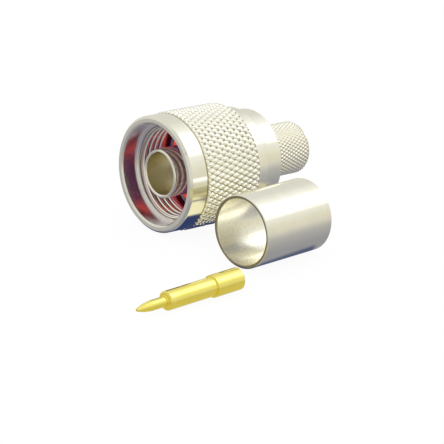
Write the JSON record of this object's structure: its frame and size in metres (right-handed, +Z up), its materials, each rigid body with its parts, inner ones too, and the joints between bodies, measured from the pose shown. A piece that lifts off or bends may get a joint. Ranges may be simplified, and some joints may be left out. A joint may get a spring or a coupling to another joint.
{
  "type": "n type coaxial cable connector",
  "caption": "Coaxial radio plug for crimping: a knurled coupling nut turning on a plug body, with its loose crimp ferrule and gold centre pin laid beside it.",
  "frame": {"origin": "on the plug's axis, in the rim of the outer contact, where two mated plugs meet", "axes": "-Y along the plug's axis towards the mating connector, +Y towards the cable, +Z up from the table, +X towards the loose ferrule and pin"},
  "size_m": [0.0405, 0.0573, 0.0202],
  "materials": {
    "nickel": "bright nickel plating on turned brass",
    "gold": "bright gold plating on turned brass",
    "white_insulator": "satin white fluoroplastic",
    "red_gasket": "matte red silicone",
    "spring_steel": "plain spring metal"
  },
  "bodies": {
    "plug": {"body": "nickel", "outer_contact": "nickel", "insulator": "white_insulator", "gasket": "red_gasket", "snap_ring": "spring_steel", "crimp_ferrule": "nickel", "centre_pin": "gold"},
    "nut": {"coupling_nut": "nickel"}
  },
  "joints": [
    {"name": "nut_turn", "type": "hinge", "parent": "plug", "child": "nut", "pos_m": [0, 0, 0], "axis": [0, 1, 0], "continuous": true}
  ]
}
